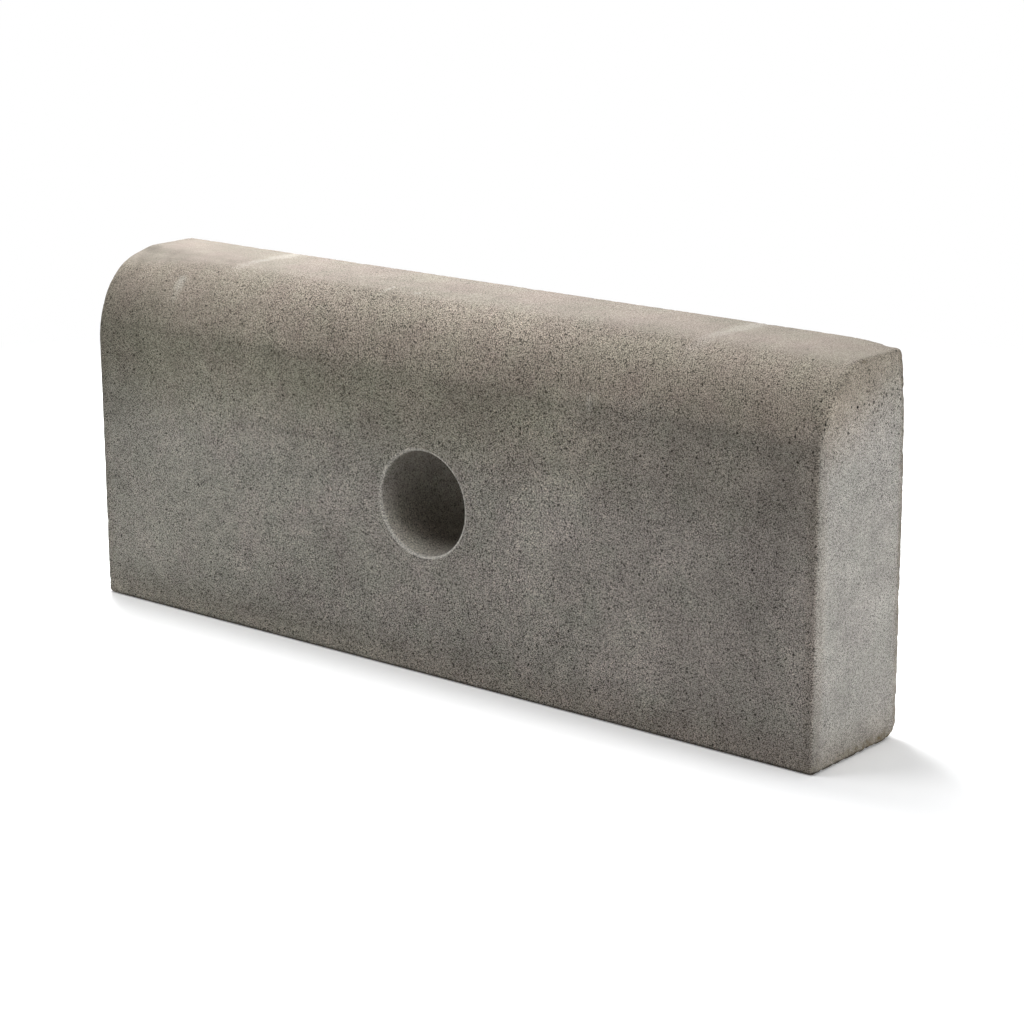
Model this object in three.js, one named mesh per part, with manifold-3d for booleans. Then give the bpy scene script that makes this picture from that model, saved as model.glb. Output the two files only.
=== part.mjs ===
import * as THREE from 'three';
import { mergeVertices, toCreasedNormals } from 'three/addons/utils/BufferGeometryUtils.js';
import Module from 'manifold-3d';

// Concrete kerb stone, cast in one piece: an upright slab with a rounded nose on its top front
// edge, softened arrises and one carrying hole through its thickness.
// Sizes are in millimetres. X runs along the kerb, -Y faces the road and +Z is up.
// The origin lies on the ground, under the middle of the stone.

// The slab.
const stoneLength = 618;
const stoneHeight = 250;
const stoneThickness = 95;

// The nose along the top edge towards the road: a shallow arc that meets the front face and the
// top at a slight crease each.
const noseDrop = 45.5; // from the top down to the crease on the front face
const noseReach = 40; // from the front face back to the crease on the top
const noseRadius = 75;

// Radii of the other three long edges, as the section shows them.
const crownRadius = 3; // top edge at the back
const heelRadius = 14; // bottom edge at the back
const toeRadius = 2; // bottom edge towards the road

// Radius of the arris that runs round each end face.
const endArrisRadius = 5;

// The carrying hole, half way along the stone.
const holeDiameter = 71;
const holeCentreHeight = 118;
const holeRimRadius = 2;

// Fineness of the facets.
const arcChord = 4; // the longest chord on a long edge
const leastArcSteps = 4; // steps on the smallest quarter arc
const arrisSteps = 5;
const rimSteps = 4;
const holeSides = 96;
const sharpestRadius = 0.5; // what is left of a small edge where it runs into an end face
const cutterOverrun = 5; // how far the hole's cutter stands out of each face
const creaseAngle = THREE.MathUtils.degToRad(30);

const concrete = new THREE.MeshStandardMaterial({
  color: 0xa39d92,
  roughness: 0.93,
  metalness: 0,
});

const quarterTurn = Math.PI / 2;

// The nose's size leaves room for the small edges beside it, also where the end arris draws the
// section in.
const roomForCrown = Math.max(crownRadius, endArrisRadius) + 2 * sharpestRadius;
const roomForToe = Math.max(toeRadius, endArrisRadius) + 2 * sharpestRadius;
const fittedReach = Math.min(noseReach, stoneThickness - roomForCrown);
const fittedDrop = Math.min(noseDrop, stoneHeight - roomForToe);

// The nose's arc about its own centre. Its radius is at least the one at which the arc would run
// into a face without a crease, so that it never bulges beyond the slab's two faces.
const noseChord = Math.hypot(fittedReach, fittedDrop);
const steepestSlope = Math.max(fittedReach / fittedDrop, fittedDrop / fittedReach);
const seamlessRadius = (noseChord / 2) * Math.hypot(1, steepestSlope);
const fittedNoseRadius = Math.max(noseRadius, seamlessRadius);
const centreBehindChord = Math.sqrt(fittedNoseRadius ** 2 - (noseChord / 2) ** 2);
const noseCentre = new THREE.Vector2(
  -stoneThickness / 2 + fittedReach / 2 + (centreBehindChord * fittedDrop) / noseChord,
  stoneHeight - fittedDrop / 2 - (centreBehindChord * fittedReach) / noseChord,
);

// The section's three small corners, anticlockwise as seen from the +X end. Each lies towards
// side (-1 front, 1 back) and level (-1 bottom, 1 top), and its arc begins at startAngle.
const smallCorners = [
  { radius: toeRadius, side: -1, level: -1, startAngle: 2 * quarterTurn },
  { radius: heelRadius, side: 1, level: -1, startAngle: 3 * quarterTurn },
  { radius: crownRadius, side: 1, level: 1, startAngle: 0 },
];

function arcSteps(radius, angle) {
  return Math.max(leastArcSteps, Math.ceil((angle * radius) / arcChord));
}

// The nose's arc, drawn in by inset, from the top to the front face. Its number of points is the
// same at every inset.
function noseArc(inset) {
  const radius = fittedNoseRadius - inset;
  const topLevel = stoneHeight - inset;
  const frontLine = -stoneThickness / 2 + inset;
  const riseToTop = Math.min((topLevel - noseCentre.y) / radius, 1);
  const runToFront = Math.min((noseCentre.x - frontLine) / radius, 1);
  const arc = new THREE.EllipseCurve(
    noseCentre.x,
    noseCentre.y,
    radius,
    radius,
    2 * quarterTurn - Math.asin(riseToTop),
    2 * quarterTurn - Math.acos(runToFront),
  );
  const sweep = 2 * Math.asin(noseChord / 2 / fittedNoseRadius);
  return arc.getPoints(arcSteps(fittedNoseRadius, sweep));
}

// A small corner's arc, drawn in by inset.
function cornerArc(corner, inset) {
  const radius = Math.max(corner.radius - inset, sharpestRadius);
  const arc = new THREE.EllipseCurve(
    corner.side * (stoneThickness / 2 - inset - radius),
    stoneHeight / 2 + corner.level * (stoneHeight / 2 - inset - radius),
    radius,
    radius,
    corner.startAngle,
    corner.startAngle + quarterTurn,
  );
  return arc.getPoints(arcSteps(corner.radius, quarterTurn));
}

// The section's outline at one place along the stone, drawn in by inset on every side.
function sectionRing(x, inset) {
  const outline = smallCorners.flatMap((corner) => cornerArc(corner, inset));
  return [...outline, ...noseArc(inset)].map((point) => new THREE.Vector3(x, point.x, point.y));
}

// The rings from one end face to the other. Near each end they shrink along the arris's arc.
function sectionRings() {
  const rings = [];
  for (const end of [-1, 1]) {
    for (let step = 0; step <= arrisSteps; step += 1) {
      const turned = end < 0 ? arrisSteps - step : step;
      const angle = (quarterTurn * turned) / arrisSteps;
      const setBack = endArrisRadius * (1 - Math.sin(angle));
      const inset = endArrisRadius * (1 - Math.cos(angle));
      rings.push(sectionRing(end * (stoneLength / 2 - setBack), inset));
    }
  }
  return rings;
}

// Skins neighbouring rings together and closes the first and the last.
function loft(rings) {
  const ringSize = rings[0].length;
  const corners = rings.flat().flatMap((point) => point.toArray());
  const faces = [];
  for (let ring = 0; ring < rings.length - 1; ring += 1) {
    for (let side = 0; side < ringSize; side += 1) {
      const here = ring * ringSize + side;
      const beside = ring * ringSize + ((side + 1) % ringSize);
      faces.push(here, beside, beside + ringSize);
      faces.push(here, beside + ringSize, here + ringSize);
    }
  }
  const endOutline = rings[0].map((point) => new THREE.Vector2(point.y, point.z));
  const lastRing = (rings.length - 1) * ringSize;
  for (const [a, b, c] of THREE.ShapeUtils.triangulateShape(endOutline, [])) {
    faces.push(c, b, a);
    faces.push(lastRing + a, lastRing + b, lastRing + c);
  }
  const geometry = new THREE.BufferGeometry();
  geometry.setAttribute('position', new THREE.Float32BufferAttribute(corners, 3));
  geometry.setIndex(faces);
  return geometry;
}

// The hole as a turned solid along Y: straight in the middle, with a mouth that opens over the
// rim's rounding at each face and then stands clear of it.
function holeCutter() {
  const holeRadius = holeDiameter / 2;
  const face = stoneThickness / 2;
  const mouthRadius = holeRadius + holeRimRadius;
  const profile = [new THREE.Vector2(0, -face - cutterOverrun)];
  profile.push(new THREE.Vector2(mouthRadius, -face - cutterOverrun));
  for (let step = 0; step <= rimSteps; step += 1) {
    const angle = (quarterTurn * step) / rimSteps;
    const radius = mouthRadius - holeRimRadius * Math.sin(angle);
    profile.push(new THREE.Vector2(radius, -face + holeRimRadius * (1 - Math.cos(angle))));
  }
  const otherHalf = profile.map((point) => new THREE.Vector2(point.x, -point.y)).reverse();
  const cutter = new THREE.LatheGeometry([...profile, ...otherHalf], holeSides);
  cutter.translate(0, 0, holeCentreHeight);
  return cutter;
}

const wasm = await Module();
wasm.setup();

// A closed geometry as a solid that can be cut.
function toSolid(geometry) {
  const bare = geometry.clone();
  bare.deleteAttribute('normal');
  bare.deleteAttribute('uv');
  const merged = mergeVertices(bare);
  const mesh = new wasm.Mesh({
    numProp: 3,
    vertProperties: new Float32Array(merged.attributes.position.array),
    triVerts: new Uint32Array(merged.index.array),
  });
  return new wasm.Manifold(mesh);
}

// A solid as a geometry again, smooth on its round stretches and creased at its edges.
function toGeometry(solid) {
  const mesh = solid.getMesh();
  const geometry = new THREE.BufferGeometry();
  geometry.setAttribute('position', new THREE.BufferAttribute(mesh.vertProperties, 3));
  geometry.setIndex(new THREE.BufferAttribute(mesh.triVerts, 1));
  return toCreasedNormals(geometry, creaseAngle);
}

function kerbStoneGeometry() {
  const slab = toSolid(loft(sectionRings()));
  const hole = toSolid(holeCutter());
  return toGeometry(slab.subtract(hole));
}

const kerbStone = new THREE.Mesh(kerbStoneGeometry(), concrete);
kerbStone.name = 'kerb_stone';

const kerb = new THREE.Group();
kerb.add(kerbStone);

export default kerb;
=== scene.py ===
"""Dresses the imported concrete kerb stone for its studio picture.

The cast stone takes the place of its plain node. It has the same form and sizes, and adds the wear
of its arrises, its pores and its weathered, sandy skin. Lengths are in metres. X runs along the
kerb, -Y faces the road and +Z is up.
"""

from __future__ import annotations

import logging
import math
from dataclasses import dataclass
from enum import Enum
from functools import reduce
from typing import Union

import bmesh
import bpy
import numpy as np
from mathutils import Matrix, Vector

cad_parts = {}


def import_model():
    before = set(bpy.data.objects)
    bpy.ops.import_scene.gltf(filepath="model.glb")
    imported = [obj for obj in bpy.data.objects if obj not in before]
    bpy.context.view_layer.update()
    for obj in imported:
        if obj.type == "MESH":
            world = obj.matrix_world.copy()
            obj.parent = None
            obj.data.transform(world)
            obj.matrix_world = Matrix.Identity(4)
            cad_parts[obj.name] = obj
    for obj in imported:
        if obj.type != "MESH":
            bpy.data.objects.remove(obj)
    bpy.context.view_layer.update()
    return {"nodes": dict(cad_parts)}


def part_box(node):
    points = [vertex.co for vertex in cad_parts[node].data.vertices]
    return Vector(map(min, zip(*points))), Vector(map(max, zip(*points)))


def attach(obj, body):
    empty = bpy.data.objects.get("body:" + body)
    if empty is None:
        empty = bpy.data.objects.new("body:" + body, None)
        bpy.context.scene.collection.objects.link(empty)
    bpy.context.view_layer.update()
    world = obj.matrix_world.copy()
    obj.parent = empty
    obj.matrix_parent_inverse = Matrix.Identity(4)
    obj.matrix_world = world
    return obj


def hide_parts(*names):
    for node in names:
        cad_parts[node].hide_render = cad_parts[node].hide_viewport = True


LOG = logging.getLogger("kerb_stone")

MM = 0.001

Colour = tuple[float, float, float]
Place = tuple[float, float, float]
Number = Union[float, "Value"]

WHITE: Colour = (1.0, 1.0, 1.0)


# ---------------------------------------------------------------------------------------------
# Numbers over many points at once
# ---------------------------------------------------------------------------------------------


def ease(low: float, high: float, values: np.ndarray) -> np.ndarray:
    """Rises smoothly from 0 at low to 1 at high, or falls where low lies above high.

    Args:
        low: Where the result is 0.
        high: Where the result is 1.
        values: The numbers to ease.

    Returns:
        One number from 0 to 1 for each value.
    """
    share = np.clip((values - low) / (high - low), 0.0, 1.0)
    return share * share * (3.0 - 2.0 * share)


def rounded_both(a: np.ndarray, b: np.ndarray, radius: float | np.ndarray) -> np.ndarray:
    """Joins two distances into the distance to what lies inside both, with a rounded edge.

    Args:
        a: Distances to one surface, negative inside.
        b: Distances to the other surface.
        radius: The radius of the edge where the two meet.

    Returns:
        The joined distances.
    """
    over_a = a + radius
    over_b = b + radius
    outside = np.hypot(np.maximum(over_a, 0.0), np.maximum(over_b, 0.0))
    return np.minimum(np.maximum(over_a, over_b), 0.0) + outside - radius


def softened_both(a: np.ndarray, b: np.ndarray, softness: np.ndarray) -> np.ndarray:
    """Joins two distances that meet at a slight crease, with the crease worn round.

    Args:
        a: Distances to one surface, negative inside.
        b: Distances to the other surface.
        softness: How far apart the two distances may be where they still blend.

    Returns:
        The joined distances.
    """
    blend = np.maximum(softness - np.abs(a - b), 0.0) / softness
    return np.maximum(a, b) + blend * blend * softness / 4.0


@dataclass(frozen=True)
class LatticeNoise:
    """Seeded smooth noise in space, from 0 to 1.

    Attributes:
        cell: The size of its coarsest lumps.
        seed: Picks the pattern.
        octaves: How many layers it adds up, each half the size of the one before.
        gain: The strength of each layer, as a share of the one before.
    """

    cell: float
    seed: int
    octaves: int = 1
    gain: float = 0.5

    def __call__(self, points: np.ndarray) -> np.ndarray:
        """Works the noise out.

        Args:
            points: One row of three coordinates for each point.

        Returns:
            One number for each point.
        """
        total = np.zeros(len(points))
        weights = 0.0
        for octave in range(self.octaves):
            weight = self.gain**octave
            places = points * (2.0**octave / self.cell)
            total += weight * self._layer(places, self.seed + 101 * octave)
            weights += weight
        return total / weights

    @classmethod
    def _layer(cls, places: np.ndarray, seed: int) -> np.ndarray:
        """One layer: random numbers at whole coordinates, blended in between.

        Args:
            places: One row of three coordinates for each point, in lumps.
            seed: Picks the layer's pattern.

        Returns:
            One number for each point.
        """
        whole = np.floor(places)
        part = ease(0.0, 1.0, places - whole)
        total = np.zeros(len(places))
        for corner in np.ndindex(2, 2, 2):
            share = np.prod(np.where(corner, part, 1.0 - part), axis=1)
            total += share * cls._random(whole.astype(np.int64) + np.array(corner), seed)
        return total

    @staticmethod
    def _random(cells: np.ndarray, seed: int) -> np.ndarray:
        """A number from 0 to 1 for each row of three whole numbers.

        Args:
            cells: One row of three whole coordinates for each number.
            seed: Picks the pattern.

        Returns:
            The numbers.
        """
        wrapped = cells.astype(np.uint32)
        mixed = wrapped[:, 0] * np.uint32(73856093)
        mixed ^= wrapped[:, 1] * np.uint32(19349663)
        mixed ^= wrapped[:, 2] * np.uint32(83492791)
        mixed ^= np.uint32(seed * 40503)
        for factor in (2246822519, 3266489917):
            mixed ^= mixed >> np.uint32(15)
            mixed = mixed * np.uint32(factor)
        mixed ^= mixed >> np.uint32(16)
        return mixed / float(0xFFFFFFFF)


# ---------------------------------------------------------------------------------------------
# The cast form
# ---------------------------------------------------------------------------------------------


@dataclass(frozen=True)
class KerbForm:
    """The form of the casting, as distances from any point to its faces.

    Attributes:
        low: The lowest corner of the stone's box.
        high: The highest corner of the stone's box.
        nose_drop: From the top down to the nose's crease on the front face.
        nose_reach: From the front face back to the nose's crease on the top.
        nose_radius: Radius of the nose's arc.
        crease_softness: How far the nose's two creases are worn round.
        left_softness: The same at the left end, where they are worn most.
        left_start: Where that wear sets in, as a share of half the length.
        crease_reach: How far beyond a crease its wear fades away.
        crown_radius: Radius of the top back edge.
        heel_radius: Radius of the bottom back edge.
        toe_radius: Radius of the bottom front edge.
        end_arris_radius: Radius of the arris round the left end face.
        right_arris_radius: Radius of the arris round the right end face, which is less worn.
        hole_radius: Radius of the carrying hole.
        hole_height: Height of the hole's axis.
        rim_radius: Radius of the rounding at each mouth of the hole.
    """

    SETTLE_ROUNDS = 4  # how often settle() corrects each point

    low: Vector
    high: Vector
    nose_drop: float = 45.5 * MM
    nose_reach: float = 40 * MM
    nose_radius: float = 75 * MM
    crease_softness: float = 3 * MM
    left_softness: float = 13 * MM
    left_start: float = 0.72
    crease_reach: float = 24 * MM
    crown_radius: float = 3 * MM
    heel_radius: float = 14 * MM
    toe_radius: float = 2 * MM
    end_arris_radius: float = 5 * MM
    right_arris_radius: float = 3.5 * MM
    hole_radius: float = 35.5 * MM
    hole_height: float = 118 * MM
    rim_radius: float = 1.2 * MM

    @property
    def half_length(self) -> float:
        """Half the stone's length."""
        return (self.high.x - self.low.x) / 2.0

    @property
    def nose_centre(self) -> tuple[float, float]:
        """The centre of the nose's arc, as Y and Z.

        Returns:
            The two coordinates.
        """
        chord = math.hypot(self.nose_reach, self.nose_drop)
        behind = math.sqrt(self.nose_radius**2 - (chord / 2.0) ** 2)
        return (
            self.low.y + self.nose_reach / 2.0 + behind * self.nose_drop / chord,
            self.high.z - self.nose_drop / 2.0 - behind * self.nose_reach / chord,
        )

    def nose(self, points: np.ndarray) -> np.ndarray:
        """Distances to the nose's arc, and a plain negative number away from the nose.

        Args:
            points: One row of three coordinates for each point.

        Returns:
            One distance for each point, negative inside.
        """
        centre_y, centre_z = self.nose_centre
        y, z = points[:, 1], points[:, 2]
        arc = np.hypot(y - centre_y, z - centre_z) - self.nose_radius
        is_beside = y < self.low.y + self.nose_reach + self.crease_reach
        is_beside &= z > self.high.z - self.nose_drop - self.crease_reach
        return np.where(is_beside, arc, -1.0)

    def softness(self, points: np.ndarray) -> np.ndarray:
        """How far the nose's creases are worn round at each point.

        Args:
            points: One row of three coordinates for each point.

        Returns:
            One length for each point.
        """
        x, y, z = points.T
        low, high = self.high.z - self.nose_drop, self.low.y + self.nose_reach
        worn = ease(-self.left_start * self.half_length, -self.half_length, x)
        reach = self.crease_reach
        worn = worn * ease(low - reach, low + reach, z) * ease(high + reach, high, y)
        return self.crease_softness + worn * (self.left_softness - self.crease_softness)

    def faces(self, points: np.ndarray) -> dict[str, np.ndarray]:
        """Distances to each face of the stone, negative inside the material.

        Args:
            points: One row of three coordinates for each point.

        Returns:
            The distances under the name of each face.
        """
        x, y, z = points.T
        return {
            "front": self.low.y - y,
            "back": y - self.high.y,
            "top": z - self.high.z,
            "bottom": self.low.z - z,
            "end": np.abs(x) - self.half_length,
            "hole": self.hole_radius - np.hypot(x, z - self.hole_height),
            "nose": self.nose(points),
        }

    def distance(self, points: np.ndarray) -> np.ndarray:
        """Distances to the stone's surface, negative inside.

        The bottom edges of the end faces stay sharp.

        Args:
            points: One row of three coordinates for each point.

        Returns:
            One distance for each point.
        """
        face = self.faces(points)
        crown = rounded_both(face["back"], face["top"], self.crown_radius)
        section = np.maximum(face["front"], crown)
        section = softened_both(section, face["nose"], self.softness(points))
        is_right = points[:, 0] > 0.0
        arris = np.where(is_right, self.right_arris_radius, self.end_arris_radius)
        body = rounded_both(section, face["end"], arris)
        toe = rounded_both(face["front"], face["bottom"], self.toe_radius)
        heel = rounded_both(face["back"], face["bottom"], self.heel_radius)
        body = np.maximum.reduce([body, toe, heel])
        return rounded_both(body, face["hole"], self.rim_radius)

    def slope(self, points: np.ndarray) -> np.ndarray:
        """The unit directions in which the distance grows fastest.

        Args:
            points: One row of three coordinates for each point.

        Returns:
            One row of three for each point.
        """
        step = 0.02 * MM
        here = self.distance(points)
        rows = [self.distance(points + step * axis) - here for axis in np.identity(3)]
        slope = np.stack(rows, axis=1)
        return slope / np.linalg.norm(slope, axis=1, keepdims=True).clip(1e-12)

    def settle(self, points: np.ndarray) -> np.ndarray:
        """Moves points that lie near the surface onto it.

        Args:
            points: One row of three coordinates for each point.

        Returns:
            The moved points.
        """
        for _ in range(self.SETTLE_ROUNDS):
            points = points - self.distance(points)[:, None] * self.slope(points)
        return points

    def from_arris(self, points: np.ndarray) -> np.ndarray:
        """Distances to the nearest of the edges, as they would be without their roundings.

        Args:
            points: One row of three coordinates for each point.

        Returns:
            One distance for each point.
        """
        face = self.faces(points)
        names = ("front", "back", "top", "bottom", "nose")
        section = np.maximum.reduce([face[name] for name in names])
        pairs = [
            (face["end"], section),
            (face["front"], face["bottom"]),
            (face["back"], face["bottom"]),
            (face["back"], face["top"]),
        ]
        return np.minimum.reduce([np.hypot(a, b) for a, b in pairs])


# ---------------------------------------------------------------------------------------------
# Wear: each says how much of the surface is lost at a point
# ---------------------------------------------------------------------------------------------


@dataclass(frozen=True)
class MouldWaves:
    """The slight waviness that the mould leaves in every face.

    Attributes:
        depth: How deep the hollows are.
        swell: The size of the long hollows.
        ripple: The size of the short ones.
    """

    depth: float = 0.22 * MM
    swell: float = 80 * MM
    ripple: float = 12 * MM

    def lost(self, points: np.ndarray, form: KerbForm) -> np.ndarray:
        """How deep the surface lies below its true form at each point.

        Args:
            points: One row of three coordinates for each point.
            form: The stone's form; not used.

        Returns:
            One depth for each point.
        """
        swell = LatticeNoise(self.swell, seed=11, octaves=2)(points)
        ripple = LatticeNoise(self.ripple, seed=12, octaves=2)(points)
        return self.depth * (0.7 * ease(0.2, 0.8, swell) + 0.3 * ripple)


@dataclass(frozen=True)
class ArrisWear:
    """Grains and small chips lost along every long edge and round both end faces.

    Attributes:
        reach: How far from the arris the loss goes.
        grain: The size of the grains.
        grain_depth: The depth that single grains leave.
        chip: The size of the chips.
        chip_depth: The depth of the chips.
        spared: How far up from the floor the loss is less.
    """

    reach: float = 4.5 * MM
    grain: float = 3 * MM
    grain_depth: float = 0.25 * MM
    chip: float = 9 * MM
    chip_depth: float = 0.5 * MM
    spared: float = 12 * MM

    def lost(self, points: np.ndarray, form: KerbForm) -> np.ndarray:
        """How much is lost at each point.

        Args:
            points: One row of three coordinates for each point.
            form: The stone's form.

        Returns:
            One depth for each point.
        """
        near = ease(self.reach, 0.3 * self.reach, form.from_arris(points))
        grains = LatticeNoise(self.grain, seed=21, octaves=2, gain=0.7)(points)
        chips = LatticeNoise(self.chip, seed=22, octaves=3, gain=0.6)(points)
        loss = self.grain_depth * ease(0.45, 0.8, grains)
        loss += self.chip_depth * ease(0.64, 0.8, chips)
        return near * loss * ease(0.0, self.spared, points[:, 2] - form.low.z)


@dataclass(frozen=True)
class CrumblyBorder:
    """The coarse strip along the bottom edge of each end face, and faintly along its back edge.

    Attributes:
        reach: How wide the strip is.
        foot_depth: How deep its crumbs are lost along the bottom.
        back_depth: How deep they are lost along the back.
        crumb: The size of the crumbs.
    """

    reach: float = 9 * MM
    foot_depth: float = 1.3 * MM
    back_depth: float = 0.5 * MM
    crumb: float = 4.5 * MM

    def lost(self, points: np.ndarray, form: KerbForm) -> np.ndarray:
        """How much is lost at each point.

        Args:
            points: One row of three coordinates for each point.
            form: The stone's form.

        Returns:
            One depth for each point.
        """
        face = form.faces(points)
        foot = np.hypot(face["end"], face["bottom"])
        back = np.hypot(face["end"], face["back"])
        depth = self.foot_depth * ease(self.reach, 0.3 * self.reach, foot)
        depth += self.back_depth * ease(self.reach, 0.3 * self.reach, back)
        crumbs = LatticeNoise(self.crumb, seed=31, octaves=2, gain=0.8)(points)
        return depth * ease(0.45, 0.8, crumbs)


@dataclass(frozen=True)
class WornCorner:
    """The top back corner of the right end, worn down and back over a hand's breadth.

    Attributes:
        top_loss: How much height is lost at the corner.
        top_reach: How far along the top that loss goes.
        end_loss: How much length is lost at the corner.
        end_reach: How far down the end face that loss goes.
        inward: How far from the back face both go.
        top_fade: How far below the top the loss of height has died out.
        end_fade: How far from the end the loss of length has died out.
    """

    top_loss: float = 2.7 * MM
    top_reach: float = 22 * MM
    end_loss: float = 4.3 * MM
    end_reach: float = 25 * MM
    inward: float = 60 * MM
    top_fade: float = 160 * MM
    end_fade: float = 60 * MM

    def moved(self, points: np.ndarray, form: KerbForm) -> np.ndarray:
        """Draws the corner in.

        Args:
            points: One row of three coordinates for each point.
            form: The stone's form.

        Returns:
            The moved points.
        """
        along = form.high.x - points[:, 0]
        down = form.high.z - points[:, 2]
        deep = np.exp(-(((form.high.y - points[:, 1]) / self.inward) ** 2))
        sunk = self.top_loss * deep * np.exp(-((along / self.top_reach) ** 2))
        back = self.end_loss * deep * np.exp(-down / self.end_reach)
        result = points.copy()
        result[:, 2] -= sunk * ease(self.top_fade, 0.0, down)
        result[:, 0] -= back * ease(self.end_fade, 0.0, along)
        return result


Wear = Union[MouldWaves, ArrisWear, CrumblyBorder]


# ---------------------------------------------------------------------------------------------
# Shader nodes
# ---------------------------------------------------------------------------------------------


class Laid(Enum):
    """How one colour is laid over another."""

    OVER = "MIX"
    TIMES = "MULTIPLY"


class Bench:
    """Adds nodes to one node tree and links them."""

    def __init__(self, tree: bpy.types.NodeTree) -> None:
        """Empties the tree and works on it."""
        self.tree = tree
        tree.nodes.clear()

    def node(
        self,
        kind: str,
        settings: dict[str, object] | None = None,
        inputs: dict[str | int, object] | None = None,
    ) -> bpy.types.Node:
        """Adds one node.

        Args:
            kind: The node's type, such as "ShaderNodeTexNoise".
            settings: Its properties, set before its sockets.
            inputs: A value or a link for each socket, by name, identifier or number.

        Returns:
            The node.
        """
        made = self.tree.nodes.new(kind)
        for name, setting in (settings or {}).items():
            setattr(made, name, setting)
        for name, given in (inputs or {}).items():
            self._feed(self.socket(made.inputs, name), given)
        return made

    @staticmethod
    def socket(sockets: bpy.types.bpy_prop_collection, name: str | int) -> bpy.types.NodeSocket:
        """Finds a socket by number, identifier or name.

        Args:
            sockets: A node's inputs or outputs.
            name: Which of them is wanted.

        Returns:
            The socket.
        """
        if isinstance(name, int):
            return sockets[name]
        found = [socket for socket in sockets if socket.identifier == name]
        return found[0] if found else sockets[name]

    def _feed(self, socket: bpy.types.NodeSocket, given: object) -> None:
        """Links an output to a socket, or sets the socket's own value.

        Args:
            socket: The socket to fill.
            given: An output, a Value or what the socket is set to.
        """
        if isinstance(given, Value):
            given = given.socket
        if isinstance(given, bpy.types.NodeSocket):
            self.tree.links.new(given, socket)
        elif socket.type == "RGBA":
            socket.default_value = (*given, 1.0)
        else:
            socket.default_value = given

    def number(
        self,
        kind: str,
        output: str | int,
        settings: dict[str, object] | None = None,
        inputs: dict[str | int, object] | None = None,
    ) -> Value:
        """Adds a node and gives one of its outputs as a number.

        Args:
            kind: The node's type.
            output: The output that is wanted.
            settings: Its properties.
            inputs: A value or a link for each socket.

        Returns:
            The output, ready for sums.
        """
        made = self.node(kind, settings, inputs)
        return Value(self, self.socket(made.outputs, output))

    def mixed(
        self, share: Number, first: object, second: object, laid: Laid = Laid.OVER
    ) -> object:
        """Mixes two colours.

        Args:
            share: 0 gives the first colour and 1 the second.
            first: A colour or a link.
            second: A colour or a link.
            laid: How the second is laid on the first.

        Returns:
            The link of the mixed colour.
        """
        made = self.node(
            "ShaderNodeMix",
            {"data_type": "RGBA", "blend_type": laid.value},
            {"Factor_Float": share, "A_Color": first, "B_Color": second},
        )
        return self.socket(made.outputs, "Result_Color")

    def vector(self, operation: str, first: object, second: object) -> object:
        """Adds a Vector Math node on two vectors and gives its vector."""
        made = self.node("ShaderNodeVectorMath", {"operation": operation}, {0: first, 1: second})
        return made.outputs["Vector"]

    def scaled(self, colour: object, by: Number) -> object:
        """A colour or vector times a number.

        Args:
            colour: A colour, a vector or a link.
            by: The number.

        Returns:
            The link of the result.
        """
        settings = {"operation": "SCALE"}
        made = self.node("ShaderNodeVectorMath", settings, {0: colour, "Scale": by})
        return made.outputs["Vector"]


class Value:
    """A number in a node tree that takes part in ordinary sums."""

    def __init__(self, bench: Bench, socket: bpy.types.NodeSocket) -> None:
        """Wraps one output socket."""
        self.bench = bench
        self.socket = socket

    def _maths(self, operation: str, *inputs: Number) -> Value:
        """Adds one Math node.

        Args:
            operation: What the node works out.
            *inputs: A number or a Value for each socket.

        Returns:
            The result.
        """
        return self.bench.number(
            "ShaderNodeMath", 0, {"operation": operation}, dict(enumerate(inputs))
        )

    def __add__(self, other: Number) -> Value:
        """self + other"""
        return self._maths("ADD", self, other)

    def __radd__(self, other: Number) -> Value:
        """other + self"""
        return self._maths("ADD", other, self)

    def __sub__(self, other: Number) -> Value:
        """self - other"""
        return self._maths("SUBTRACT", self, other)

    def __rsub__(self, other: Number) -> Value:
        """other - self"""
        return self._maths("SUBTRACT", other, self)

    def __mul__(self, other: Number) -> Value:
        """self * other"""
        return self._maths("MULTIPLY", self, other)

    def __rmul__(self, other: Number) -> Value:
        """other * self"""
        return self._maths("MULTIPLY", other, self)

    def __truediv__(self, other: Number) -> Value:
        """self / other"""
        return self._maths("DIVIDE", self, other)

    def __pow__(self, other: Number) -> Value:
        """self ** other"""
        return self._maths("POWER", self, other)

    def __abs__(self) -> Value:
        """The number without its sign"""
        return self._maths("ABSOLUTE", self)

    def least(self, other: Number) -> Value:
        """The smaller of the two."""
        return self._maths("MINIMUM", self, other)

    def most(self, other: Number) -> Value:
        """The larger of the two."""
        return self._maths("MAXIMUM", self, other)

    def held(self, low: float, high: float) -> Value:
        """The number, held between two others."""
        return self.most(low).least(high)

    def lifted(self, low: float) -> Value:
        """The number drawn towards 1, so that 0 becomes low and 1 stays as it is."""
        return low + (1.0 - low) * self

    def hypot(self, other: Value) -> Value:
        """The length of the diagonal of the two."""
        return (self * self + other * other) ** 0.5

    def ease(self, low: float, high: float) -> Value:
        """Rises smoothly from 0 at low to 1 at high, or falls where low lies above high.

        Args:
            low: Where the result is 0.
            high: Where the result is 1.

        Returns:
            A number from 0 to 1.
        """
        rises = low < high
        inputs = {
            "Value": self,
            "From Min": min(low, high),
            "From Max": max(low, high),
            "To Min": 0.0 if rises else 1.0,
            "To Max": 1.0 if rises else 0.0,
        }
        settings = {"interpolation_type": "SMOOTHSTEP"}
        return self.bench.number("ShaderNodeMapRange", "Result", settings, inputs)

    def band(self, outset: float, start: float, end: float, close: float) -> Value:
        """Rises from 0 at outset to 1 at start, and falls from 1 at end to 0 at close."""
        return self.ease(outset, start) * self.ease(close, end)


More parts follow.
